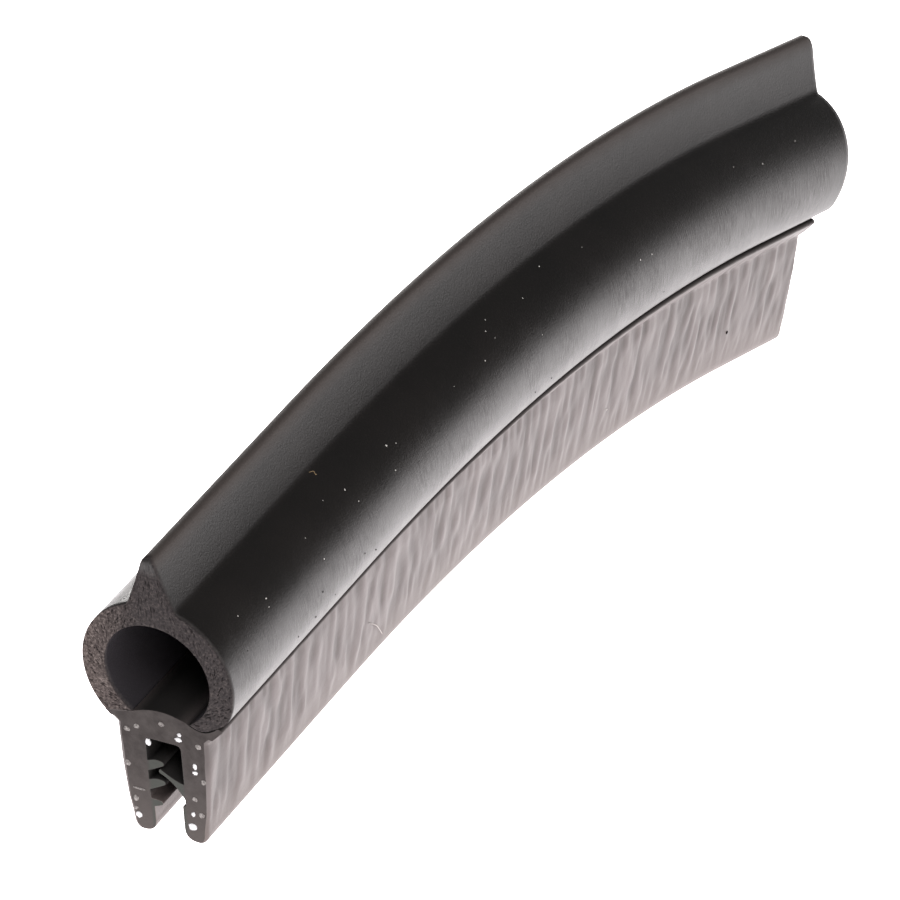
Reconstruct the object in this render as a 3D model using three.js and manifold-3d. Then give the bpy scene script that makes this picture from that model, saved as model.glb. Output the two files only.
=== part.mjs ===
// Edge trim seal: a length of sponge bulb seal on a wire-reinforced grip channel, curved as it came off its coil.
// Millimetres, +Z up. The seal stands on the tips of its channel, arched like a bridge along Y.
import * as THREE from "three";
import { mergeVertices } from "three/addons/utils/BufferGeometryUtils.js";
import Module from "manifold-3d";

const wasm = await Module();
wasm.setup();

// The cut length, measured at the tops of the channel's walls, where the wire keeps it from stretching
const channelLength = 134.8;
const bulbOverhang = 1.7; // of the bulb over the channel at the far cut, at that height
const bulbCutSlant = 18.6; // degrees that the bulb's far cut leans out towards the nose
const nearStraight = 29.6;
const farStraight = 15;
const coilRadius = 288;
const lengthSteps = 14;

// Sections are drawn with u across the seal and v up from the tips of the channel.
// Grip channel, dense rubber
const channelWidth = 10; // over the walls, at their tops
const channelHeight = 12.4; // up to the walls' tops, where the bulb's round outline starts
const wallTaperDrop = 1.6; // of the walls' taper, under their tops
const footWidth = 8.4;
const footRise = 1.4; // height at which the rounding of a tip begins
const tipSpacing = 6.1;
const cavityWidth = 3.9;
const cavityRoofDrop = 1.05; // under the walls' tops
const cavityCorner = 0.5; // radius
const mouthWidth = 3.2;

// Fins that grip the panel's edge
const finTipRadius = 0.3;
const lipHeight = 4;
const lipThickness = 0.9;
const lipReach = 1.35;
const nubHeights = [5.1, 7.4]; // undersides of the two short fins on the left leg
const nubThickness = 1.25;
const nubReach = 1.85;
const nubLift = 1.2;
const hookHeight = 4.9; // underside of the long fin on the right leg
const hookThickness = 1.85;
const hookReach = 2.75;
const hookLift = 2.75;

// Sponge bulb and its nose
const bulbRadius = 8.4;
const bulbWall = 2.55;
const bulbSides = 44;
const noseRise = 13.95; // of its tip over the bulb's middle
const noseTipRadius = 0.65;
const noseTaper = 18; // degrees off upright, of its flanks at the tip
const noseRootHalfAngle = 19; // degrees of the bulb's circle on each side of the nose's middle
const noseFilletRise = 1.65; // over the bulb's crown
const noseFilletHalfWidth = 1.7;

// Bond between the sponge and the dense rubber; rises are over the walls' tops
const bondGap = 0.3;
const bondLeftRise = 1.2;
const bondFloorRise = 1.6; // of the corners at the sides of the crown
const crownHalfWidth = 3.2; // of the dense rubber that stands in the bulb's bore
const crownRise = 2.6;
const creaseRise = 3; // of the shoulder's edge, on the right
const creaseInset = 0.42; // of that edge, inside the bulb's circle
const cupRise = 0.8; // of the hollow of the shoulder
const cupReach = 4.9;
const shoulderFlare = 0.6;

// Wire carrier
const wireDiameter = 0.8;
const wirePitch = 6.2; // along the seal, for one turn to the right and back
const wireFootHeight = 1.9;
const wireRoofCover = 0.75; // rubber between the cavity and the wire
const wireCornerDrop = 2.35; // from the wire's run over the roof to its run down a leg
const wireCornerWidth = 1.1;
const threadDiameter = 0.6;
const threadLegPlaces = [0.2, 0.7]; // as parts of the wire's run up a leg
const cornerThreadOut = 0.2; // further out than the threads on the legs, for the bow of the wire
const carrierClearance = 0.12; // of a wire or thread in its hole
const carrierWeb = 0.06; // between the hole of a thread and that of the wire
const carrierSkin = 0.1; // outside the threads
const carrierSides = 6;

// Fits that follow from the sizes above
const cavityHeight = channelHeight - cavityRoofDrop;
const bulbCentre = channelHeight + Math.sqrt(bulbRadius ** 2 - (channelWidth / 2) ** 2);
const noseHeight = bulbCentre + noseRise;
const threadOverWire = (wireDiameter + threadDiameter) / 2 + 2 * carrierClearance + carrierWeb;
const wireInset = threadOverWire + threadDiameter / 2 + carrierClearance + carrierSkin;
const wireRoofHeight = cavityHeight + wireRoofCover + wireDiameter / 2;

const point = (u, v) => new THREE.Vector2(u, v);
const mirrored = (p) => point(-p.x, p.y);
const { clamp, degToRad, radToDeg } = THREE.MathUtils;

// Points of a round stretch, both ends included; angles in degrees, anticlockwise from the right.
function arc(u, v, radius, from, to, segments) {
  return Array.from({ length: segments + 1 }, (_, i) => {
    const angle = degToRad(from + ((to - from) * i) / segments);
    return point(u + radius * Math.cos(angle), v + radius * Math.sin(angle));
  });
}

const disc = (centre, radius, sides) => arc(centre.x, centre.y, radius, 0, 360, sides).slice(0, -1);

// Points of a fair curve that leaves one point towards a second and arrives at a third.
function bow(from, towards, to, segments) {
  return new THREE.QuadraticBezierCurve(from, towards, to).getPoints(segments);
}

// Angle on the bulb's circle, in degrees, at a height on its left or right side.
function bulbAngleAt(height, side) {
  const rise = radToDeg(Math.asin((height - bulbCentre) / bulbRadius));
  return side > 0 ? rise : 180 - rise;
}

// Length of the bulb at a height of its section, up to its slanted far cut. The channel is cut square.
function bulbLengthAt(v) {
  return channelLength + bulbOverhang + (v - channelHeight) * Math.tan(degToRad(bulbCutSlant));
}

const channelLengthAt = () => channelLength;

// Straight, bent and straight again, seen from the right side: x along from the near end, y up.
function laidOut(along, v) {
  const bendLength = channelLength - nearStraight - farStraight;
  const angle = clamp(along - nearStraight, 0, bendLength) / coilRadius;
  const before = Math.min(along, nearStraight);
  const past = Math.max(along - nearStraight - bendLength, 0);
  const radius = coilRadius + v - channelHeight;
  const x = before + radius * Math.sin(angle) + past * Math.cos(angle);
  const y = radius * Math.cos(angle) - coilRadius - past * Math.sin(angle);
  return point(x, y);
}

// The same places with the tips at both ends on the floor and the seal centred over the origin.
const nearTip = laidOut(0, 0);
const standAngle = -laidOut(channelLength, 0).sub(nearTip).angle();
const standing = (along, v) => laidOut(along, v).sub(nearTip).rotateAround(point(0, 0), standAngle);
const middle = (standing(0, noseHeight).x + standing(bulbLengthAt(noseHeight), noseHeight).x) / 2;

// Bends a straight length, drawn with its section in XY and the near cut at z = 0, the far one at z = -1.
// It is drawn out to the length that its height in the section has.
function bend(geometry, lengthAt) {
  const position = geometry.getAttribute("position");
  for (let i = 0; i < position.count; i++) {
    const v = position.getY(i);
    const place = standing(-position.getZ(i) * lengthAt(v), v);
    position.setXYZ(i, position.getX(i), place.x - middle, place.y);
  }
  return geometry;
}

function toSolid(geometry) {
  const bare = geometry.clone();
  bare.deleteAttribute("normal");
  bare.deleteAttribute("uv");
  const merged = mergeVertices(bare, 1e-4);
  return new wasm.Manifold(
    new wasm.Mesh({
      numProp: 3,
      vertProperties: merged.getAttribute("position").array,
      triVerts: new Uint32Array(merged.index.array),
    }),
  );
}

function toGeometry(solid) {
  const mesh = solid.getMesh();
  const geometry = new THREE.BufferGeometry();
  geometry.setAttribute("position", new THREE.BufferAttribute(mesh.vertProperties, 3));
  geometry.setIndex(new THREE.BufferAttribute(mesh.triVerts, 1));
  geometry.computeVertexNormals();
  return geometry;
}

// A section extruded along the seal and bent; overrun carries it past both cuts.
function extrudeSeal(outline, lengthAt, overrun = 0) {
  const past = overrun / channelLength;
  const straight = new THREE.ExtrudeGeometry(new THREE.Shape(outline), {
    depth: 1 + 2 * past,
    steps: lengthSteps,
    bevelEnabled: false,
  });
  straight.translate(0, 0, -1 - past);
  return toSolid(bend(straight, lengthAt));
}

// Line on which the sponge is bonded to the dense rubber, from right to left.
function bondLine() {
  const bondFloor = channelHeight + bondFloorRise;
  const [crease] = arc(
    0,
    bulbCentre,
    bulbRadius - creaseInset,
    bulbAngleAt(channelHeight + creaseRise, 1),
    0,
    1,
  );
  const [left] = arc(0, bulbCentre, bulbRadius, bulbAngleAt(channelHeight + bondLeftRise, -1), 0, 1);
  const corner = point(crownHalfWidth, bondFloor);
  const crownControl = point(0, 2 * (channelHeight + crownRise) - bondFloor);
  const cup = bow(crease, point(cupReach, channelHeight + cupRise), corner, 6);
  return [...cup, ...bow(corner, crownControl, mirrored(corner), 6).slice(1), left];
}

// A fin with a round tip that slants up into the cavity from the inner face of the left leg.
function finOutline(root, reach, lift, thickness) {
  const tip = arc(root.x + reach - finTipRadius, root.y + lift, finTipRadius, -60, 80, 3);
  return [root, ...tip, point(root.x, root.y + thickness)];
}

// Outline of the left leg's tip, or of the right one, from its outer face to its inner one.
function footOutline(side) {
  const outer = point((side * footWidth) / 2, footRise);
  const tip = point((side * tipSpacing) / 2, 0);
  const inner = point((side * mouthWidth) / 2, footRise);
  return [...bow(outer, point(outer.x, 0), tip, 3), ...bow(tip, point(inner.x, 0), inner, 3).slice(1)];
}

function channelOutline() {
  const wall = channelWidth / 2;
  const cavity = cavityWidth / 2;
  const taperTop = point(wall, channelHeight - wallTaperDrop);
  const underBulb = arc(
    0,
    bulbCentre,
    bulbRadius,
    bulbAngleAt(channelHeight + bondLeftRise, -1),
    bulbAngleAt(channelHeight, -1),
    2,
  );
  const lipTip = point(lipReach - cavity - finTipRadius, lipHeight - finTipRadius);
  const nubs = nubHeights.flatMap((height) => finOutline(point(-cavity, height), nubReach, nubLift, nubThickness));
  const hook = finOutline(point(-cavity, hookHeight), hookReach, hookLift, hookThickness).map(mirrored).reverse();
  const roofCorner = arc(cavityCorner - cavity, cavityHeight - cavityCorner, cavityCorner, 180, 90, 2);
  const flare = point(wall + shoulderFlare, channelHeight + creaseRise / 3);
  return [
    ...underBulb.slice(1),
    mirrored(taperTop),
    ...footOutline(-1),
    point(-mouthWidth / 2, lipHeight - lipThickness),
    ...arc(lipTip.x, lipTip.y, finTipRadius, -50, 90, 3),
    point(-cavity, lipHeight),
    ...nubs,
    ...roofCorner,
    ...roofCorner.map(mirrored).reverse(),
    ...hook,
    point(mouthWidth / 2, lipHeight),
    ...footOutline(1).reverse(),
    taperTop,
    ...bow(point(wall, channelHeight), flare, bondLine()[0], 3).slice(0, -1),
    ...bondLine().slice(0, -1),
    underBulb[0],
  ];
}

// The bulb's round outline with the nose on top, anticlockwise from the nose's left root.
function bulbOutline() {
  const left = 90 + noseRootHalfAngle;
  const right = 450 - noseRootHalfAngle;
  const ring = arc(0, bulbCentre, bulbRadius, left, right, bulbSides);
  const tip = arc(0, noseHeight - noseTipRadius, noseTipRadius, noseTaper, 180 - noseTaper, 6);
  const fillet = point(noseFilletHalfWidth, bulbCentre + bulbRadius + noseFilletRise);
  return [
    ...ring,
    ...bow(ring.at(-1), fillet, tip[0], 4).slice(1, -1),
    ...tip,
    ...bow(tip.at(-1), mirrored(fillet), ring[0], 4).slice(1, -1),
  ];
}

// A curve that takes the same number of steps between every two of its points.
class WirePath extends THREE.CatmullRomCurve3 {
  constructor(points) {
    super(points, false, "centripetal");
  }
  getUtoTmapping(u) {
    return u;
  }
}

// The wire's run in the section, from the tip of the left leg over the roof to the tip of the right one.
function wireRun() {
  const legTop = point(wireInset - channelWidth / 2, wireRoofHeight - wireCornerDrop);
  const left = [
    point(wireInset - footWidth / 2, wireFootHeight),
    legTop,
    point(legTop.x + wireCornerWidth, wireRoofHeight),
  ];
  return [...left, ...left.map(mirrored).reverse()];
}

// The wire crosses the channel, turns at a leg's tip and comes back, all along the seal. Both cuts fall
// halfway between two crossings.
function wireTube(radius) {
  const crossings = Math.round((2 * channelLength) / wirePitch);
  const turnLean = wirePitch / 8;
  const leans = [-turnLean, 0, 0, 0, 0, turnLean];
  const way = [];
  for (let crossing = 0; crossing < crossings + 2; crossing++) {
    const along = ((crossing - 0.5) * channelLength) / crossings;
    const run = crossing % 2 ? wireRun().reverse() : wireRun();
    run.forEach((p, i) => way.push(new THREE.Vector3(p.x, p.y, -along - leans[i])));
  }
  const round = new THREE.Shape(disc(point(0, 0), radius, carrierSides));
  const tube = new THREE.ExtrudeGeometry(round, { steps: way.length - 1, extrudePath: new WirePath(way) });
  return toSolid(bend(tube, () => 1));
}

// Places of the carrier's threads in the section, outside the wire, from the left leg to the right one.
function threadPlaces() {
  const [foot, legTop, roofEnd] = wireRun();
  const onLeg = threadLegPlaces.map((part) => foot.clone().lerp(legTop, part).sub(point(threadOverWire, 0)));
  const outward = roofEnd.clone().sub(legTop).normalize().rotateAround(point(0, 0), Math.PI / 2);
  const corner = legTop.clone().lerp(roofEnd, 0.5).addScaledVector(outward, threadOverWire + cornerThreadOut);
  const left = [...onLeg, corner];
  return [...left, point(0, wireRoofHeight + threadOverWire), ...left.map(mirrored).reverse()];
}

// Everything of the channel's space between its two cuts.
function cutLength() {
  const side = channelWidth;
  const space = [point(-side, 0), point(side, 0), point(side, bulbCentre), point(-side, bulbCentre)];
  return extrudeSeal(space, channelLengthAt);
}

function makeBulb() {
  const bore = extrudeSeal(disc(point(0, bulbCentre), bulbRadius - bulbWall, bulbSides), bulbLengthAt, 1);
  const line = bondLine().map((p) => point(p.x, p.y + bondGap));
  const rightEdge = line[0].x + bulbRadius;
  const leftEdge = line.at(-1).x - bulbRadius;
  const under = [point(leftEdge, 0), point(rightEdge, 0), point(rightEdge, line[0].y)];
  const seat = extrudeSeal([...under, ...line, point(leftEdge, line.at(-1).y)], bulbLengthAt, 1);
  return extrudeSeal(bulbOutline(), bulbLengthAt).subtract(bore).subtract(seat);
}

function makeChannel() {
  const threadHole = threadDiameter / 2 + carrierClearance;
  const wireHole = wireTube(wireDiameter / 2 + carrierClearance);
  return threadPlaces().reduce(
    (channel, place) => channel.subtract(extrudeSeal(disc(place, threadHole, carrierSides), channelLengthAt, 1)),
    extrudeSeal(channelOutline(), channelLengthAt).subtract(wireHole),
  );
}

const makeWire = () => wireTube(wireDiameter / 2).intersect(cutLength());
const makeThread = (place) => extrudeSeal(disc(place, threadDiameter / 2, carrierSides), channelLengthAt);

const spongeRubber = new THREE.MeshStandardMaterial({ color: 0x2e2a28, roughness: 0.7, metalness: 0 });
const denseRubber = new THREE.MeshStandardMaterial({ color: 0x6f6868, roughness: 0.5, metalness: 0 });
const steelWire = new THREE.MeshStandardMaterial({ color: 0xc9c6c2, roughness: 0.3, metalness: 1 });
const carrierYarn = new THREE.MeshStandardMaterial({ color: 0x8d8886, roughness: 0.9, metalness: 0 });

function piece(name, solid, material) {
  const mesh = new THREE.Mesh(toGeometry(solid), material);
  mesh.name = name;
  return mesh;
}

const seal = new THREE.Group();
seal.add(piece("sponge_bulb", makeBulb(), spongeRubber));
seal.add(piece("grip_channel", makeChannel(), denseRubber));
seal.add(piece("carrier_wire", makeWire(), steelWire));
threadPlaces().forEach((place, i) => seal.add(piece(`carrier_thread_${i + 1}`, makeThread(place), carrierYarn)));

export default seal;
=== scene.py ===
"""Looks of the edge trim seal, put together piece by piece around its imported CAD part."""

import math

import bpy
import numpy as np
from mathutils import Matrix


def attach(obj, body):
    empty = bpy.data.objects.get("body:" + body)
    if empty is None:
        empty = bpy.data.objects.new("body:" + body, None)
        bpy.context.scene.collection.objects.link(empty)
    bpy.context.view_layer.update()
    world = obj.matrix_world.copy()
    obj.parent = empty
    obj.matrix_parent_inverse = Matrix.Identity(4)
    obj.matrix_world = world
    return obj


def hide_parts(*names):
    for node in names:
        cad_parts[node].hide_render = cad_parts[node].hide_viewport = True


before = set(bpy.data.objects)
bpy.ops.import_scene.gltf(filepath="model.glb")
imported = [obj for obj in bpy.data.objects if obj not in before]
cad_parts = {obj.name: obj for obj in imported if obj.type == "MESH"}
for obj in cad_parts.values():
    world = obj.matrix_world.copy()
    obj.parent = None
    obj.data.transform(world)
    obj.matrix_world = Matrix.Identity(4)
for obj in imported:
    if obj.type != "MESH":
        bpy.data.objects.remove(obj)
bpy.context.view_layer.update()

# The table. A sheet of white acrylic lit from below and from above, so that it stays white and throws no
# shadow. It glows most in the middle, and that light also grazes the underside of the seal.
FLOOR_HALF, FLOOR_DROP = 4.0, 0.0002
GLOW_REACH, GLOW_MIDDLE, GLOW_REST = 0.17, 2.6, 0.1


def add_mesh(name, points, faces, material):
    """Smooth mesh object at the origin from points in metres; faces is a list of arrays with one face of
    vertex numbers a row."""
    mesh = bpy.data.meshes.new(name)
    mesh.from_pydata(points.tolist(), [], [face for rows in faces for face in np.asarray(rows).tolist()])
    mesh.polygons.foreach_set("use_smooth", np.ones(len(mesh.polygons), bool))
    mesh.materials.append(material)
    piece = bpy.data.objects.new(name, mesh)
    bpy.context.scene.collection.objects.link(piece)
    return piece


class Finish:
    """A material with one surface shader, and short ways to add nodes; each way gives back an output."""

    def __init__(self, name, color, roughness, metallic=0.0):
        self.material = bpy.data.materials.new(name)
        self.material.use_nodes = True
        self.tree = self.material.node_tree
        self.surface = self.tree.nodes["Principled BSDF"].inputs
        self.surface["Base Color"].default_value = (*color, 1)
        self.surface["Roughness"].default_value = roughness
        self.surface["Metallic"].default_value = metallic
        self.spot = self.add("TexCoord", "Object")

    def add(self, kind, output, sockets=None, **settings):
        """A new node's output; each of its sockets is joined to another output or set to a value."""
        made = self.tree.nodes.new("ShaderNode" + kind)
        for key, value in settings.items():
            setattr(made, key, value)
        for key, value in (sockets or {}).items():
            if isinstance(value, bpy.types.NodeSocket):
                self.tree.links.new(value, made.inputs[key])
            else:
                made.inputs[key].default_value = value
        return made.outputs[output]

    def join(self, source, target):
        """Joins an output to a socket of the surface shader."""
        self.tree.links.new(source, self.surface[target])

    def marked(self, name):
        """The value that mark() gave each vertex under this name."""
        return self.add("Attribute", "Fac", attribute_name=name)

    def noise(self, place, scale, detail, roughness=0.5):
        """Random clouds, scale of them a metre, with finer and finer ones on top."""
        sockets = {"Vector": place, "Scale": scale, "Detail": detail, "Roughness": roughness}
        return self.add("TexNoise", "Fac", sockets)

    def ramp(self, value, *stops):
        """Colours between stops, each a position and a colour."""
        shade = self.add("ValToRGB", "Color", {"Fac": value})
        elements = shade.node.color_ramp.elements
        for number, (position, color) in enumerate(stops):
            element = elements[number] if number < 2 else elements.new(position)
            element.position, element.color = position, (*color, 1)
        return shade

    def rescaled(self, value, start, end, low, high):
        """The value moved in proportion from start and end to low and high, and held between them."""
        sockets = {"Value": value, "From Min": start, "From Max": end, "To Min": low, "To Max": high}
        return self.add("MapRange", "Result", sockets)

    def blend(self, share, first, second):
        """The first colour, with this share of the second one."""
        return self.add("Mix", 2, {0: share, 6: first, 7: (*second, 1)}, data_type="RGBA")

    def maths(self, operation, *values):
        """The result of a sum with one, two or three values."""
        return self.add("Math", 0, dict(enumerate(values)), operation=operation)

    def bump(self, height, strength, distance):
        """Fine relief that shades the surface without moving it."""
        sockets = {"Height": height, "Strength": strength, "Distance": distance}
        self.join(self.add("Bump", "Normal", sockets), "Normal")


def white_acrylic():
    """Milky sheet whose glow falls with the square of the distance from the middle."""
    finish = Finish("white acrylic", (0.9, 0.9, 0.9), 0.6)
    finish.surface["Emission Color"].default_value = (1, 0.955, 0.965, 1)
    distance = finish.add("VectorMath", "Value", {0: finish.spot}, operation="LENGTH")
    share = finish.maths("DIVIDE", distance, GLOW_REACH)
    spread = finish.maths("MULTIPLY_ADD", share, share, 1.0)
    glow = finish.maths("DIVIDE", GLOW_MIDDLE, spread)
    finish.join(finish.maths("ADD", glow, GLOW_REST), "Emission Strength")
    return finish.material


corner = np.array([[-1, -1, 0], [1, -1, 0], [1, 1, 0], [-1, 1, 0]]) * FLOOR_HALF - [0, 0, FLOOR_DROP]
floor = add_mesh("floor", corner, [[[0, 1, 2, 3]]], white_acrylic())

# The lamps. A soft panel on the right lights the wall, one over the front lights the cut face, and one
# behind on the left gives the nose its light edge. The room is nearly dark, so the skin stays black.
PANELS = (
    ("right panel", (0.55, -0.5, 0.28), 0.4, 2.2, (1, 0.97, 0.962)),
    ("front panel", (0.15, -0.6, 0.9), 0.5, 4.0, (1, 1, 1)),
    ("rear panel", (-0.5, 0.75, 0.25), 0.5, 6.5, (1, 0.97, 0.95)),
)


def add_panel(name, place, size, watts, color):
    """Square area lamp at a place in metres, turned to face the seal."""
    lamp = bpy.data.lights.new(name, "AREA")
    lamp.size = size
    lamp.energy = watts
    lamp.color = color
    x, y, z = place
    panel = bpy.data.objects.new(name, lamp)
    panel.location = place
    panel.rotation_euler = (math.atan2(math.hypot(x, y), z), 0, math.atan2(x, -y))
    bpy.context.scene.collection.objects.link(panel)


for panel in PANELS:
    add_panel(*panel)
room = bpy.data.worlds.new("dim room")
room.use_nodes = True
room.node_tree.nodes["Background"].inputs["Color"].default_value = (1, 1, 1, 1)
room.node_tree.nodes["Background"].inputs["Strength"].default_value = 0.1
bpy.context.scene.world = room

# The bulb. A tube of extruded sponge rubber with a nose fin, with a satin skin outside and open pores where
# it is cut. It was cured onto the channel, and its lower right edge lies in the channel's shoulder. Sizes
# are in mm, in the section's own frame: u across, s along from the near cut, v up from the channel's tips.
CHANNEL_LENGTH, NEAR_STRAIGHT, FAR_STRAIGHT, COIL_RADIUS = 134.8, 29.6, 15.0, 288.0
WALL_TOP, BULB_OVERHANG, BULB_SLOPE = 12.4, 1.7, math.tan(math.radians(18.6))
BULB_RADIUS, BORE_RADIUS, BULB_CENTRE = 8.33, 5.85, 19.15
NOSE_TOP, NOSE_TIP, NOSE_TAPER, NOSE_ROOT = 33.05, 0.65, 18, 19
SOLID_NOSE_TOP = 33.1
NEAR_NOSE_ROUND, FAR_NOSE_ROUND = 0.6, 2.0
CROWN_HALF, CROWN_FLOOR = 3.2, 14.2
GROOVE = (6.5, 15.0)
PORE_DEPTH, EDGE, HALF_WALL = 0.15, 0.04, 1.3


def bulb_end(v):
    """Length of the bulb at height v: the channel's, the overhang at the walls' tops, and the height over
    them times the slope of the cut."""
    return CHANNEL_LENGTH + BULB_OVERHANG + (v - WALL_TOP) * BULB_SLOPE


def laid_out(s, v):
    """Side view (forward, up) of the place s along and v up: a straight, then an arc of the coil, then a
    straight along the arc's last tangent."""
    bend = CHANNEL_LENGTH - NEAR_STRAIGHT - FAR_STRAIGHT
    angle = np.clip(s - NEAR_STRAIGHT, 0, bend) / COIL_RADIUS
    past = np.maximum(s - NEAR_STRAIGHT - bend, 0)
    radius = COIL_RADIUS + v - WALL_TOP
    forward = np.minimum(s, NEAR_STRAIGHT) + radius * np.sin(angle) + past * np.cos(angle)
    return forward, radius * np.cos(angle) - COIL_RADIUS - past * np.sin(angle)


def standing(s, v):
    """The side view turned until the tips at both ends are on the floor: the arc's angle to the floor,
    times the distances from the near tip."""
    near, far = laid_out(0.0, 0.0), laid_out(CHANNEL_LENGTH, 0.0)
    turn = -math.atan2(far[1] - near[1], far[0] - near[0])
    forward, up = laid_out(s, v)
    forward, up = forward - near[0], up - near[1]
    cosine, sine = math.cos(turn), math.sin(turn)
    return forward * cosine - up * sine, forward * sine + up * cosine


MIDDLE = (standing(0.0, SOLID_NOSE_TOP)[0] + standing(bulb_end(SOLID_NOSE_TOP), SOLID_NOSE_TOP)[0]) / 2


def on_seal(u, s, v):
    """Points in metres of the places u across, s along and v up, in mm, moved until the seal is centred."""
    u, s, v = np.broadcast_arrays(np.asarray(u, float), np.asarray(s, float), np.asarray(v, float))
    y, z = standing(s, v)
    return np.stack([u, y - MIDDLE, z], -1).reshape(-1, 3) / 1000


def arc(u, v, radius, start, end, count):
    """Points at equal angles on a circle, both ends included; degrees from the right, anticlockwise."""
    angle = np.radians(np.linspace(start, end, count))
    return np.stack([u + radius * np.cos(angle), v + radius * np.sin(angle)], -1)


def bow(start, towards, end, count):
    """Points of the quadratic curve (1-t)^2 start + 2t(1-t) towards + t^2 end."""
    t = np.linspace(0, 1, count)[:, None]
    return (1 - t) ** 2 * np.array(start) + 2 * t * (1 - t) * np.array(towards) + t**2 * np.array(end)


def evenly(points, count):
    """The same line through count points at equal ways along it."""
    way = np.r_[0, np.cumsum(np.linalg.norm(np.diff(points, axis=0), axis=1))]
    at = np.linspace(0, way[-1], count)
    return np.stack([np.interp(at, way, points[:, 0]), np.interp(at, way, points[:, 1])], -1)


def grain(x, y, seed):
    """Smooth random values from -1 to 1: one for each pair of whole numbers, joined by cosine steps."""
    x, y = x - np.min(x), y - np.min(y)
    i, j = x.astype(int), y.astype(int)
    value = np.random.default_rng(seed).uniform(-1, 1, (np.max(i) + 2, np.max(j) + 2))
    a, b = 0.5 - 0.5 * np.cos(np.pi * (x - i)), 0.5 - 0.5 * np.cos(np.pi * (y - j))
    low = value[i, j] * (1 - a) + value[i + 1, j] * a
    high = value[i, j + 1] * (1 - a) + value[i + 1, j + 1] * a
    return low * (1 - b) + high * b


def quads(ids):
    """Faces of a grid of vertex numbers, one for each four neighbours."""
    return np.stack([ids[:-1, :-1], ids[1:, :-1], ids[1:, 1:], ids[:-1, 1:]], -1).reshape(-1, 4)


def ring_closed(ids):
    """The grid with its first column again after its last."""
    return np.concatenate([ids, ids[:, :1]], 1)


def lay_uv(piece, uv):
    """UV map in mm from one pair of values a vertex."""
    corner = np.empty(len(piece.data.loops), np.int32)
    piece.data.loops.foreach_get("vertex_index", corner)
    piece.data.uv_layers.new(name="seal").data.foreach_set("uv", uv[corner].astype(np.float32).ravel())


def mark(piece, **values):
    """Gives each vertex named values that the material reads."""
    for name, value in values.items():
        made = piece.data.attributes.new(name, "FLOAT", "POINT")
        made.data.foreach_set("value", value.astype(np.float32))


def bulb_section(around, across):
    """Grid of section points (u, v) from the skin to the bore: shares of the way between the outline and
    the bore's circle, bowed down to the shoulder's hollow at the right edge."""
    centre = (0, BULB_CENTRE)
    left = arc(*centre, BULB_RADIUS, 222.2, 90 + NOSE_ROOT, 60)
    right = arc(*centre, BULB_RADIUS, 90 - NOSE_ROOT, -23.2, 60)
    tip = arc(0, NOSE_TOP - NOSE_TIP, NOSE_TIP, 180 - NOSE_TAPER, NOSE_TAPER, 30)
    left_fillet = bow(left[-1], (-1.7, 29.2), tip[0], 16)[1:-1]
    right_fillet = bow(tip[-1], (1.7, 29.2), right[0], 16)[1:-1]
    lower_edge = bow(right[-1], (7.2, 15.0), GROOVE, 9)[1:]
    skin = evenly(np.concatenate([left, left_fillet, tip, right_fillet, right, lower_edge]), around)
    bore = arc(*centre, BORE_RADIUS, 237.4, -56.9, around)
    share = np.linspace(0, 1, across)[None, :, None]
    grid = skin[:, None] * (1 - share) + bore[:, None] * share
    seat = bow(skin[-1], (4.9, 13.25), bore[-1], across)
    bowed = np.clip((np.linspace(0, 1, around) - 0.93) / 0.07, 0, 1)[:, None, None] ** 2
    return grid + (seat - grid[-1])[None] * bowed


def border(grid):
    """The grid's edge as one run: along the skin, down the right seat, back along the bore and up the left
    seat."""
    return np.concatenate([grid[:-1, 0], grid[-1, :-1], grid[:0:-1, -1], grid[0, :0:-1]])


def pore_depth(shape):
    """Depth in mm of the open cells of the cut: they lie where the sum of two random fields passes a level,
    and a third field lets the walls between them rise and fall a little."""
    x = np.linspace(0, 1, shape[0])[:, None]
    y = np.linspace(0, 1, shape[1])[None]
    cells = grain(230 * x, 12 * y, 1) + 0.8 * grain(330 * x, 18 * y, 2)
    return PORE_DEPTH * np.clip((cells - 0.55) * 1.5, 0, 1) ** 0.7 + 0.02 * (1 + grain(240 * x, 15 * y, 3))


def nose_round(v, radius):
    """How far a cut lies back at height v, where the nose's soft corner is rounded: the radius, less the
    circle's height at the way that v has gone into the corner."""
    into = np.clip((v - NOSE_TOP + radius) / radius, 0, 1)
    return radius * (1 - np.sqrt(1 - 0.98 * into**2))


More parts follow.
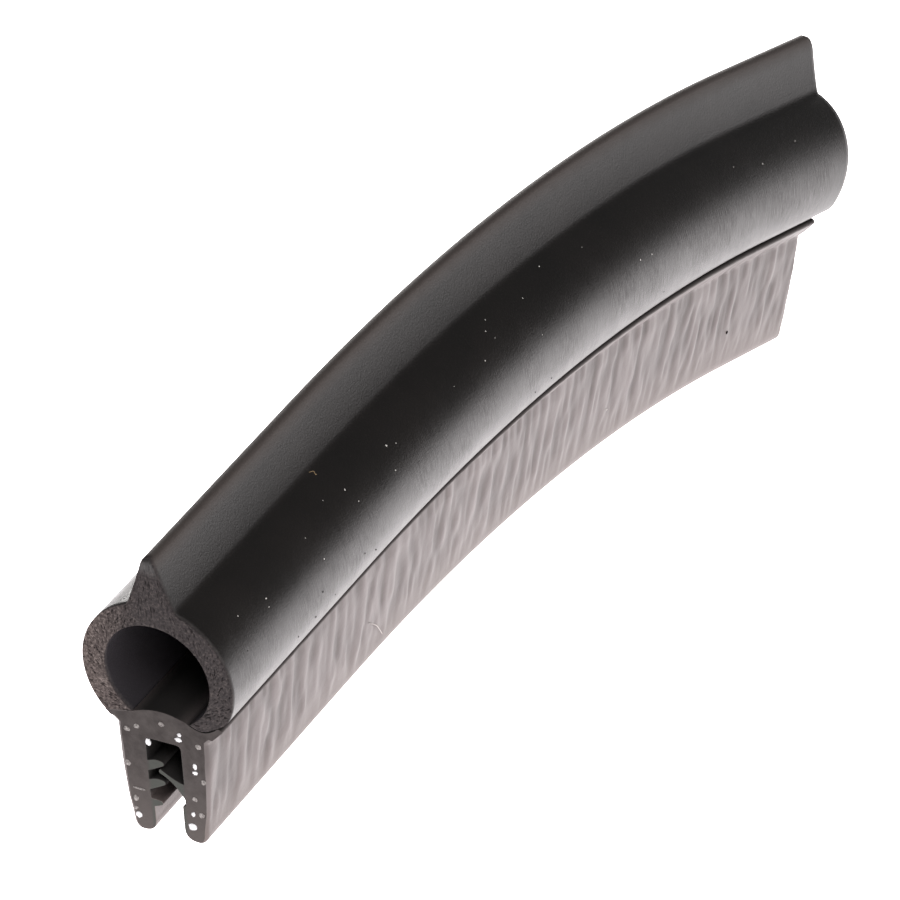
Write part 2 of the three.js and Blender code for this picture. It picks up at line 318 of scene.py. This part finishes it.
def build_bulb(around=121, across=7, steps=230, finer=4):
    """The border of the section carried along the seal and closed at both cuts by grids; the near grid is
    finer and has open cells. A strip of narrow faces joins each grid to the border's last place."""
    edge = border(bulb_section(around, across))
    count = len(edge)
    start = EDGE + nose_round(edge[:, 1], NEAR_NOSE_ROUND)
    end = bulb_end(edge[:, 1]) - EDGE - nose_round(edge[:, 1], FAR_NOSE_ROUND)
    s = start + (end - start) * np.linspace(0, 1, steps)[:, None]
    points = [on_seal(edge[:, 0], s, edge[:, 1])]
    ids = np.arange(steps * count).reshape(steps, count)
    faces = [quads(ring_closed(ids))[:, ::-1]]
    way = np.r_[0, np.cumsum(np.linalg.norm(np.diff(edge, axis=0), axis=1))]
    uv = [np.stack(np.broadcast_arrays(s, way), -1).reshape(-1, 2)]
    cut = [np.zeros(steps * count)]
    cut[0][:count] = 1
    pore = [np.zeros(steps * count)]
    total = steps * count
    for near in (True, False):
        times = finer if near else 1
        grid = bulb_section((around - 1) * times + 1, (across - 1) * times + 1)
        shape = grid.shape[:2]
        middle = grid[:, shape[1] // 2][:, None]
        face = grid + (middle - grid) * (EDGE / HALF_WALL)
        depth = pore_depth(shape) if near else np.zeros(shape)
        high = face[..., 1]
        if near:
            place = depth + nose_round(high, NEAR_NOSE_ROUND)
        else:
            place = bulb_end(high) - nose_round(high, FAR_NOSE_ROUND)
        points.append(on_seal(face[..., 0], place, high))
        face_ids = total + np.arange(high.size).reshape(shape)
        rim = np.r_[border(face_ids), face_ids[0, 0]]
        last = ids[0] if near else ids[-1]
        strip = [last, np.roll(last, -1)]
        strip += [rim[times - k : times - k + times * count : times][:count] for k in range(times + 1)]
        strip = np.stack(strip, -1)
        faces += [quads(face_ids)[:, ::-1], strip[:, ::-1]] if near else [quads(face_ids), strip]
        uv.append(face.reshape(-1, 2))
        cut.append(np.clip((32.4 - high.ravel()) / 1.6, 0.35, 1))
        pore.append(depth.ravel() / PORE_DEPTH)
        total += face_ids.size
    rest = np.zeros(total - steps * count)
    flank = np.clip((25.5 - edge[:, 1]) / 4, 0, 1) * np.clip((edge[:, 1] - 15.3) / 3.5, 0, 1)
    worn = np.clip((edge[:, 1] - 31.2) / 1.4, 0, 1)
    inside = np.hypot(edge[:, 0], edge[:, 1] - BULB_CENTRE) < BORE_RADIUS + 0.1
    values = dict(cut=np.concatenate(cut), pore=np.concatenate(pore))
    for name, value in (("flank", flank), ("worn", worn), ("inside", inside)):
        values[name] = np.r_[np.broadcast_to(value, s.shape).ravel(), rest]
    return np.concatenate(points), faces, np.concatenate(uv), values


def sponge_rubber():
    """Black skin with a fine grain and hair-fine marks across the lower flank; grey-brown open cells where it
    is cut, with painted shade darkening the deepest ones."""
    finish = Finish("sponge rubber", (0.011, 0.0098, 0.0092), 0.4)
    along = finish.add("UVMap", "UV", uv_map="seal")
    cut, pore, inside, worn = (finish.marked(name) for name in ("cut", "pore", "inside", "worn"))
    cloud = finish.noise(finish.spot, 140.0, 4.0)
    skin = finish.ramp(cloud, (0.3, (0.0095, 0.0085, 0.008)), (0.75, (0.014, 0.012, 0.0112)))
    skin = finish.blend(inside, skin, (0.036, 0.033, 0.037))
    skin = finish.blend(worn, skin, (0.052, 0.042, 0.038))

    cells = finish.noise(finish.spot, 3400.0, 3.0, 0.7)
    dark, middle, light = (0.038, 0.029, 0.027), (0.092, 0.074, 0.069), (0.24, 0.2, 0.185)
    cell_color = finish.ramp(cells, (0.36, dark), (0.54, middle), (0.74, light))
    across = finish.add("SeparateXYZ", "X", {"Vector": along})
    right = finish.rescaled(across, -7.5, -1.5, 0.0, 0.72)
    cell_color = finish.blend(right, cell_color, (0.015, 0.014, 0.016))
    # Painted shade: the deeper open cells are darkened towards black.
    pit_shade = finish.rescaled(pore, 0.25, 0.8, 0.0, 1.0)
    cell_color = finish.blend(pit_shade, cell_color, (0.012, 0.01, 0.01))
    finish.join(finish.add("Mix", 2, {0: cut, 6: skin, 7: cell_color}, data_type="RGBA"), "Base Color")
    sheltered = finish.maths("MAXIMUM", inside, cut)
    finish.join(finish.rescaled(sheltered, 0.0, 1.0, 0.55, 0.2), "Specular IOR Level")

    hair_place = finish.add("Mapping", "Vector", {"Vector": along, "Scale": (5.5, 0.6, 1.0)})
    hair = finish.noise(hair_place, 1.0, 5.0, 0.65)
    thick = finish.rescaled(cloud, 0.4, 0.6, 0.35, 1.0)
    flank = finish.maths("MULTIPLY", finish.marked("flank"), thick)
    line = finish.maths("MULTIPLY", finish.rescaled(hair, 0.42, 0.68, 0.0, 0.24), flank)
    satin = finish.rescaled(finish.noise(finish.spot, 420.0, 5.0), 0.0, 1.0, 0.27, 0.4)
    satin = finish.maths("ADD", satin, line)
    satin = finish.maths("MULTIPLY_ADD", worn, 0.35, satin)
    finish.join(finish.add("Mix", 0, {0: cut, 2: satin, 3: 0.9}), "Roughness")
    fine = finish.noise(finish.spot, 5200.0, 2.0)
    height = finish.maths("MULTIPLY_ADD", fine, 0.55, finish.maths("MULTIPLY", hair, flank))
    finish.bump(height, 0.4, 0.00011)
    return finish.material


points, faces, uv, values = build_bulb()
bulb = add_mesh("bulb", points, faces, sponge_rubber())
lay_uv(bulb, uv)
mark(bulb, **values)
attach(bulb, "root")
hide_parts("sponge_bulb")

# The grip channel. Dense rubber extruded round a knitted wire carrier, whose turns show through the walls
# as low leaning ribs. Two short fins, a lip and one long hook between its legs hold the panel's edge.
RIB_SPACING, RIB_LEAN, RIB_HEIGHT = 3.1, 0.12, 0.22
LEG_FACE, FIN_TIP, FOOT_ROUND, CAP_INSET = 1.95, 0.3, 0.3, 0.03
CUP_POINTS = 9


def wall_ribs(s, v):
    """Lift of a wall in mm: a wave along the seal, one crest for each run of the wire, that leans forward
    as it goes up; long random streaks break it up, and it fades out at both edges of the wall."""
    place = s + 0.35 * np.sin(s / 3.7) - RIB_LEAN * v
    crest = (0.5 + 0.5 * np.cos(2 * np.pi * place / RIB_SPACING + 0.8 * grain(place / 7, v / 3, 6))) ** 1.3
    streaks = 0.45 * grain(place / 1.15, v / 3.6, 7) + 0.45 * grain(place / 0.62, v / 2.3, 8)
    fade = np.clip((14.4 - v) / 1.5, 0, 1) * np.clip((v - 0.6) / 3.0, 0, 1)
    return RIB_HEIGHT * fade * np.clip(0.3 + 0.45 * crest + streaks, 0, 1.2)


def fin(height, reach, lift, thickness, under=0.3, over=0.4):
    """Outline of a fin on the left leg's inner face: hollow underside, round tip, hollow upper side; under
    and over are the parts of the lift that the two hollows have reached halfway."""
    root, top = -LEG_FACE, height + thickness
    tip = arc(root + reach - FIN_TIP, height + lift, FIN_TIP, -60, 80, 7)
    below = bow((root, height), (root + 0.4 * reach, height + under * lift), tip[0], 9)[:-1]
    above = bow(tip[-1], (root + 0.45 * reach, top + over * lift), (root, top), 9)[1:]
    return np.concatenate([below, tip, above])


def channel_outline():
    """Closed outline, clockwise from the crown's right corner: shoulder, right leg, cavity, left leg, crown."""
    flip = np.array([-1, 1])
    corner, side = (CROWN_HALF, CROWN_FLOOR), (5.0, WALL_TOP)
    cup = bow(corner, (4.9, 13.2), (GROOVE[0] - 0.15, GROOVE[1] - 0.3), CUP_POINTS)
    rim = bow(cup[-1], (6.8, 14.72), (6.85, 14.25), 7)[1:]
    shoulder = bow(rim[-1], (5.85, 13.2), side, 12)[1:]
    wall = evenly(np.array([(5.0, 12.1), (5.0, 10.8), (4.2, 1.4)]), 40)
    outer_foot = bow((4.2, 1.4), (4.2, 0), (3.05, 0), 8)[1:]
    inner_foot = bow((3.05, 0), (1.6, 0), (1.6, 1.4), 8)[1:]
    foot = np.concatenate([outer_foot, inner_foot])
    hook = fin(4.9, 2.75, 2.75, 1.85, 0.68, 0.12)
    roof = arc(-1.45, 10.85, 0.5, 180, 90, 5)
    right_leg = [wall, foot, [(1.6, 4.0), (LEG_FACE, 4.2)], hook * flip, roof * flip]
    lip = [[(-LEG_FACE, 4.05)], arc(-0.9, 3.7, 0.3, 90, -50, 6), [(-1.6, 3.1)]]
    left_leg = [roof[::-1], fin(7.4, 1.85, 1.2, 1.25)[::-1], fin(5.1, 1.85, 1.2, 1.25)[::-1], *lip]
    left_leg += [(foot * flip)[::-1], (wall * flip)[::-1]]
    under_bulb = arc(0, BULB_CENTRE, BULB_RADIUS, 233.4, 221.4, 6)
    crown = bow((-CROWN_HALF, CROWN_FLOOR), (0, 15.8), corner, 17)[:-1]
    return np.concatenate([cup, rim, shoulder, *right_leg, *left_leg, under_bulb, crown])


def build_channel(steps=380, turns=5):
    """The outline carried along the seal, lifted by the ribs on its outer walls, rounded at the cuts by a
    quarter circle, and closed by one flat face a cut."""
    edge = channel_outline()
    count = len(edge)
    tangent = np.roll(edge, -1, 0) - np.roll(edge, 1, 0)
    inward = np.stack([tangent[:, 1], -tangent[:, 0]], -1) / np.linalg.norm(tangent, axis=1)[:, None]
    outer = (edge[:, 0] > 4.0) & (edge[:, 1] < 14.3) | (edge[:, 0] < -4.0) & (edge[:, 1] < 12.5)
    radius = EDGE + FOOT_ROUND * np.clip((np.abs(edge[:, 0]) - 3.4) / 0.8, 0, 1) * (edge[:, 1] < 13.0)
    turn = np.linspace(0, np.pi / 2, turns)[:, None]
    inset, back = radius * (1 - np.sin(turn)), radius * (1 - np.cos(turn))
    s = radius + (CHANNEL_LENGTH - 2 * radius) * np.linspace(0, 1, steps)[:, None]
    s = np.concatenate([back, s[1:-1], CHANNEL_LENGTH - back[::-1]])
    inset = np.concatenate([inset, np.zeros((steps - 2, count)), inset[::-1]])
    lift = wall_ribs(s, edge[None, :, 1]) * outer
    u = edge[:, 0] + np.sign(edge[:, 0]) * lift + inward[:, 0] * inset
    v = edge[:, 1] + inward[:, 1] * inset
    ids = np.arange(s.size).reshape(s.shape)
    near = s.size + np.arange(count)
    far = near + count
    rings = np.concatenate([near[None], ids, far[None]])
    faces = [quads(ring_closed(rings))[:, ::-1], near[None, ::-1], far[None]]
    flat = np.stack([u[0], v[0]], -1) + CAP_INSET * inward
    caps = [on_seal(flat[:, 0], place, flat[:, 1]) for place in (0, CHANNEL_LENGTH)]
    points = np.concatenate([on_seal(u, s, v), *caps])
    uv = np.concatenate([np.stack(np.broadcast_arrays(s, edge[:, 1]), -1).reshape(-1, 2), flat, flat])
    # Painted shade: the cup under the bulb's edge, the rim's top under the bulb and the cavity between the legs
    # are marked inside, and the finish paints them near black as shade.
    cavity = (np.abs(edge[:, 0]) < 2.0) & (edge[:, 1] > 4.1) & (edge[:, 1] < 12)
    rim = np.clip((edge[:, 1] - 14.15) / 0.6, 0, 1)
    inside = np.where(np.arange(count) < CUP_POINTS, 1, np.maximum(cavity, rim))
    low = np.clip((5 - edge[:, 1]) / 4, 0, 1)
    ends = np.zeros(2 * count)
    values = dict(cut=np.r_[np.zeros(s.size), ends + 1])
    for name, value in (("inside", inside), ("low", low), ("rib", lift / RIB_HEIGHT)):
        values[name] = np.r_[np.broadcast_to(value, s.shape).ravel(), ends]
    return points, faces, uv, values


def dense_rubber():
    """Grey satin skin with painted shade between its ribs, browner towards the tips, and painted near black as
    shade inside; dark grey where it is cut, greener on the fins."""
    finish = Finish("dense rubber", (0.17, 0.145, 0.143), 0.45)
    cut, inside, low, rib = (finish.marked(name) for name in ("cut", "inside", "low", "rib"))
    cloud = finish.noise(finish.spot, 160.0, 5.0)
    skin = finish.ramp(cloud, (0.25, (0.109, 0.09, 0.088)), (0.75, (0.14, 0.12, 0.117)))
    # Painted shade: the skin is darkened between the ribs, where the relief would be in shade.
    rib_valley_shade = finish.rescaled(rib, 0.0, 0.9, 0.85, 0.0)
    skin = finish.blend(rib_valley_shade, skin, (0.062, 0.051, 0.049))
    skin = finish.blend(low, skin, (0.105, 0.084, 0.078))
    # Painted shade: near black where the skin is marked inside.
    skin = finish.blend(inside, skin, (0.016, 0.0145, 0.014))
    sheltered = finish.maths("MAXIMUM", inside, cut)
    finish.join(finish.rescaled(sheltered, 0.0, 1.0, 0.34, 0.15), "Specular IOR Level")

    scar = finish.noise(finish.spot, 900.0, 4.0)
    cut_color = finish.ramp(scar, (0.3, (0.024, 0.019, 0.018)), (0.75, (0.048, 0.041, 0.039)))
    section = finish.add("UVMap", "UV", uv_map="seal")
    across = finish.add("SeparateXYZ", "X", {"Vector": section})
    up = finish.add("SeparateXYZ", "Y", {"Vector": section})
    foot = finish.rescaled(up, 1.0, 9.0, 1.0, 0.0)
    cut_color = finish.blend(foot, cut_color, (0.062, 0.053, 0.05))
    between_legs = finish.rescaled(finish.maths("ABSOLUTE", across), 1.7, 2.1, 1.0, 0.0)
    below_roof = finish.maths("LESS_THAN", up, 11.0)
    on_fin = finish.maths("MULTIPLY", between_legs, below_roof)
    cut_color = finish.blend(on_fin, cut_color, (0.04, 0.043, 0.038))
    finish.join(finish.add("Mix", 2, {0: cut, 6: skin, 7: cut_color}, data_type="RGBA"), "Base Color")

    dull = finish.maths("MULTIPLY_ADD", inside, 0.5, 0.42)
    finish.join(finish.add("Mix", 0, {0: cut, 2: dull, 3: 0.6}), "Roughness")
    fine = finish.noise(finish.spot, 2400.0, 3.0)
    finish.bump(finish.maths("MULTIPLY_ADD", scar, cut, fine), 0.25, 0.0001)
    return finish.material


points, faces, uv, values = build_channel()
channel = add_mesh("channel", points, faces, dense_rubber())
lay_uv(channel, uv)
mark(channel, **values)
flat = np.ones(len(channel.data.polygons), bool)
flat[-2:] = False
channel.data.polygons.foreach_set("use_smooth", flat)
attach(channel, "root")
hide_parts("grip_channel")

# The carrier's wire. Steel wire knitted in loops inside the rubber; the knife leaves its ends bright on the
# cut faces, some in pairs where it went through both sides of a loop.
WIRE_CUTS = (
    (2.52, 1.84, 0.52, 0.5),
    (-3.55, 1.6, 0.38, 0.42),
    (-1.7, 10.9, 0.34, 0.5),
    (1.8, 12.15, 0.45, 0.3),
    (1.95, 12.75, 0.26, 0.26),
    (3.44, 9.35, 0.24, 0.4),
    (3.4, 8.6, 0.32, 0.28),
    (2.75, 3.4, 0.26, 0.34),
)
CUT_LIFT, CUT_SINK = 0.07, 0.1


def studs(cuts, seed, sides=14, rings=5):
    """Low domes on both cut faces: rings whose radius follows the sine and whose height follows the cosine
    of the same quarter turn, with a rim that random values push in and out; their lowest ring lies in the
    rubber."""
    spot = np.array(cuts)[:, None, None]
    turn = np.linspace(0, 2 * np.pi, sides, endpoint=False)[None, None]
    quarter = np.linspace(0.02, np.pi / 2, rings)[None, :, None]
    wave = np.random.default_rng(seed).uniform(0.82, 1.1, (len(cuts), 1, sides))
    u = spot[..., 0] + spot[..., 2] * wave * np.sin(quarter) * np.cos(turn)
    v = spot[..., 1] + spot[..., 3] * wave * np.sin(quarter) * np.sin(turn)
    rise = CUT_LIFT * np.cos(quarter) * np.ones_like(u)
    rise[:, -1] = -CUT_SINK
    near = on_seal(u, -rise, v)
    far = on_seal(u, CHANNEL_LENGTH + rise, v)
    ids = np.arange(u.size).reshape(u.shape)
    side = [quads(ring_closed(stud)) for stud in ids]
    caps = [ids[:, 0], ids[:, -1, ::-1]]
    near_faces = side + caps
    far_faces = [part[:, ::-1] + u.size for part in near_faces]
    return np.concatenate([near, far]), near_faces + far_faces


def steel_wire():
    """Drawn steel, satin where the knife went through it."""
    finish = Finish("steel wire", (0.5, 0.5, 0.51), 0.5, 0.85)
    finish.bump(finish.noise(finish.spot, 3500.0, 3.0), 0.7, 0.0002)
    return finish.material


steel = steel_wire()
wire_ends = add_mesh("wire_ends", *studs(WIRE_CUTS, 5), steel)
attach(wire_ends, "root")
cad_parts["carrier_wire"].data.materials.clear()
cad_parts["carrier_wire"].data.materials.append(steel)

# The carrier's threads. Dull twisted yarns that run along the seal outside the wire and hold its loops;
# their cut ends lie among the bright ones.
YARN_CUTS = (
    (-3.7, 3.55, 0.34, 0.4),
    (-4.25, 7.68, 0.34, 0.42),
    (-4.0, 11.9, 0.4, 0.34),
    (0.0, 13.5, 0.36, 0.3),
    (4.0, 11.9, 0.38, 0.36),
    (4.25, 7.68, 0.3, 0.36),
    (3.7, 3.55, 0.34, 0.36),
    (-2.85, 12.5, 0.36, 0.3),
    (-3.8, 2.35, 0.3, 0.24),
    (3.1, 5.3, 0.32, 0.3),
    (-3.2, 4.85, 0.75, 0.14),
)


def carrier_yarn():
    """Dull grey polyester, lighter and darker between its fibres."""
    finish = Finish("carrier yarn", (0.2, 0.185, 0.18), 0.9)
    fibre = finish.noise(finish.spot, 4200.0, 4.0)
    finish.join(finish.ramp(fibre, (0.35, (0.075, 0.067, 0.064)), (0.7, (0.3, 0.28, 0.27))), "Base Color")
    finish.bump(fibre, 0.3, 0.0001)
    return finish.material


yarn = carrier_yarn()
yarn_ends = add_mesh("yarn_ends", *studs(YARN_CUTS, 8), yarn)
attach(yarn_ends, "root")
for name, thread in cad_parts.items():
    if name.startswith("carrier_thread"):
        thread.data.materials.clear()
        thread.data.materials.append(yarn)

# Dust and lint. White specks and a few crumbs of rubber from the cut lie on the skin; a tan fibre clings to
# the bulb, and a fine thread of rubber has peeled off the wall.
SPECKS = (
    (36.8, 43.9, 0.14), (88.4, 22.8, 0.11), (73.1, 63.5, 0.1), (10.2, 33.8, 0.11), (28.4, 44.3, 0.11),
    (56.2, 37.7, 0.08), (35.9, 27.0, 0.09), (119.3, 37.7, 0.11), (67.2, 53.3, 0.08), (5.6, 40.1, 0.08),
    (59.2, 52.7, 0.09), (20.4, 21.5, 0.09), (29.0, 31.5, 0.08), (60.5, 59.0, 0.08), (90.9, 21.2, 0.1),
    (128.6, 42.8, 0.09), (113.5, 45.3, 0.07), (38.1, 40.2, 0.06), (19.7, 42.0, 0.07), (59.6, 44.8, 0.07),
    (50.0, 39.5, 0.06), (80.6, 55.4, 0.07), (66.6, 23.8, 0.06), (25.1, 50.2, 0.06), (9.9, 28.2, 0.07),
)
CRUMBS = (
    (27.4, -4.0, 0.1), (18.7, 2.3, 0.12), (29.9, -12.3, 0.11), (64.3, -14.6, 0.1), (17.3, -12.5, 0.12),
    (67.9, -14.6, 0.1), (13.7, -12.9, 0.1), (4.3, 17.5, 0.08), (93.8, -15.0, 0.08), (21.3, -11.7, 0.08),
)
SPECK_SINK, RIB_TOP = 0.03, 0.2


def on_skin(s, way, lift):
    """Points on the bulb's skin, way mm round it from its right side and lift mm over it."""
    angle, radius = way / BULB_RADIUS, BULB_RADIUS + lift
    return on_seal(radius * np.cos(angle), s, BULB_CENTRE + radius * np.sin(angle))


def on_wall(s, v, lift):
    """Points on the right wall at height v, lift mm over the tops of its ribs."""
    return on_seal(np.interp(v, [1.4, 10.8], [4.2, 5.0]) + RIB_TOP + lift, s, v)


def specks(rows, place, seed, sides=7, rings=4):
    """Low domes strewn over a surface: each rim is a circle that random waves push in and out, and the
    height follows the cosine of the way out to it; the last ring lies under the surface."""
    rows = np.array(rows, float)[:, None, None]
    turn = np.linspace(0, 2 * np.pi, sides, endpoint=False)[None, None]
    quarter = np.linspace(0.1, np.pi / 2, rings)[None, :, None]
    wave = np.random.default_rng(seed).uniform(0.6, 1.3, (len(rows), 1, sides))
    reach = rows[..., 2] * wave * np.sin(quarter)
    lift = 0.5 * rows[..., 2] * np.cos(quarter) * np.ones_like(reach)
    lift[:, -1] = -SPECK_SINK
    points = place(rows[..., 0] + reach * np.cos(turn), rows[..., 1] + reach * np.sin(turn), lift)
    ids = np.arange(reach.size).reshape(reach.shape)
    return points, [quads(ring_closed(dome)) for dome in ids] + [ids[:, 0], ids[:, -1, ::-1]]


def hair(path, place, radius, sides=6):
    """Fine thread along a path of pairs on a surface: rings of equal radius square to it, closed at both
    ends."""
    path = np.array(path, float)
    ahead = np.gradient(path, axis=0)
    aside = np.stack([-ahead[:, 1], ahead[:, 0]], -1) / np.linalg.norm(ahead, axis=1)[:, None]
    turn = np.linspace(0, 2 * np.pi, sides, endpoint=False)[None]
    flat = path[:, None] + radius * np.cos(turn)[..., None] * aside[:, None]
    points = place(flat[..., 0], flat[..., 1], radius * (1 + np.sin(turn)) * np.ones((len(path), 1)))
    ids = np.arange(flat[..., 0].size).reshape(flat.shape[:2])
    return points, [quads(ring_closed(ids))[:, ::-1], ids[None, 0, ::-1], ids[None, -1]]


def lint(name, color):
    """Dull fibres and dust, a little uneven in tone."""
    finish = Finish(name, color, 0.9)
    tone = finish.rescaled(finish.noise(finish.spot, 5000.0, 2.0), 0.0, 1.0, 0.6, 1.2)
    tint = finish.add("VectorMath", "Vector", {0: color, "Scale": tone}, operation="SCALE")
    finish.join(tint, "Base Color")
    return finish.material


def round_way(rows):
    """The same rows with their angles round the bulb, in degrees, turned into mm along its skin."""
    rows = np.array(rows, float)
    rows[:, 1] = np.radians(rows[:, 1]) * BULB_RADIUS
    return rows


bend = np.linspace(0, 1, 9)[:, None]
tan_fibre = round_way(np.hstack([27.1 + 0.5 * bend, 70.3 - 5.0 * bend]))
tan_fibre = tan_fibre + np.hstack([0.25 * np.sin(5 * bend), 0 * bend])
peeled = np.hstack([33.3 + 3.2 * bend + 0.3 * np.sin(4 * bend), 5.4 - 3.1 * bend])
WHITE, TAN, BLACK, GREY = (0.62, 0.6, 0.57), (0.42, 0.3, 0.17), (0.012, 0.01, 0.01), (0.5, 0.46, 0.44)
for name, shape, color, slot in (
    ("dust", specks(round_way(SPECKS), on_skin, 3), WHITE, "carrier_yarn"),
    ("crumbs", specks(round_way(CRUMBS), on_skin, 4), BLACK, "sponge_rubber"),
    ("wall_crumb", specks([(118.7, 4.7, 0.22)], on_wall, 5), BLACK, "dense_rubber"),
    ("wall_speck", specks([(88.3, 4.6, 0.12)], on_wall, 6), WHITE, "carrier_yarn"),
    ("tan_fibre", hair(tan_fibre, on_skin, 0.035), TAN, "carrier_yarn"),
    ("peeled_thread", hair(peeled, on_wall, 0.04), GREY, "dense_rubber"),
):
    mote = add_mesh(name, *shape, lint(name.replace("_", " "), color))
    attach(mote, "root")

# The camera, at the photograph's angle and distance, with its long lens.
camera = bpy.data.cameras.new("camera")
camera.sensor_width = 36
camera.lens = 312.64
camera.clip_end = 50
viewer = bpy.data.objects.new("camera", camera)
viewer.location = (0.33332, -0.65262, 0.3781)
viewer.rotation_euler = (math.radians(63.4349), math.radians(-0.4665), math.radians(27.6929))
bpy.context.scene.collection.objects.link(viewer)
bpy.context.scene.camera = viewer
bpy.context.scene.view_settings.view_transform = "Standard"
